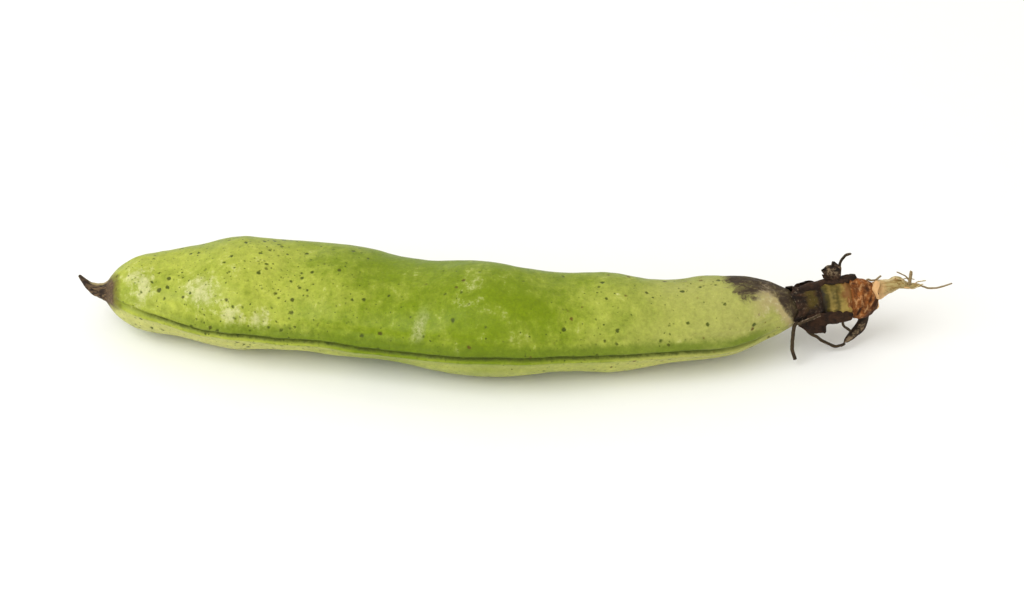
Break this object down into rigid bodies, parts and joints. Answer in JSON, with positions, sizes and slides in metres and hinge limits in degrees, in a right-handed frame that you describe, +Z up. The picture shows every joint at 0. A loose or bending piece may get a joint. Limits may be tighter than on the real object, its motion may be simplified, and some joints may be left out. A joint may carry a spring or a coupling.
{
  "type": "broad bean",
  "caption": "Broad bean pod as picked: a long curved, swollen pod with a split seam, a dark beak and the withered calyx, petals and torn stalk at its other end.",
  "frame": {"origin": "on the surface that the pod lies on, under the middle of the whole part", "axes": "+X along the pod from the beak to the torn stalk, +Y from the split seam towards the keel, +Z up, away from the surface"},
  "size_m": [0.2066, 0.0388, 0.0232],
  "materials": {
    "pod_skin": "fresh yellow-green pod skin, satin, fine speckles",
    "calyx_brown": "withered dark purple-brown, dry and crumpled",
    "petal_dark": "withered petal, near black with grey-pink folds",
    "pedicel_green": "fresh olive to pale yellow stem, ribbed",
    "peduncle_rust": "dry rusty orange-brown, wrinkled",
    "stub_straw": "torn pale straw-coloured stem fibre",
    "thread_brown": "withered stamen thread, dark brown"
  },
  "bodies": {
    "root": {"pod": "pod_skin", "calyx_tube": "calyx_brown", "pedicel": "pedicel_green", "peduncle_knot": "peduncle_rust", "peduncle_stub": "stub_straw", "flower_stalk": "calyx_brown", "sepal_front_broad": "calyx_brown", "sepal_front_long": "calyx_brown", "sepal_top": "calyx_brown", "sepal_back_high": "calyx_brown", "sepal_back_low": "calyx_brown", "petal_upright": "petal_dark", "petal_lying": "petal_dark", "thread_hanging": "thread_brown", "thread_pale": "thread_brown", "thread_looped": "thread_brown", "thread_short": "thread_brown", "thread_top": "thread_brown", "fibre_long": "stub_straw", "fibre_upright": "stub_straw", "fibre_short": "stub_straw", "fibre_hooked": "stub_straw"}
  },
  "joints": []
}
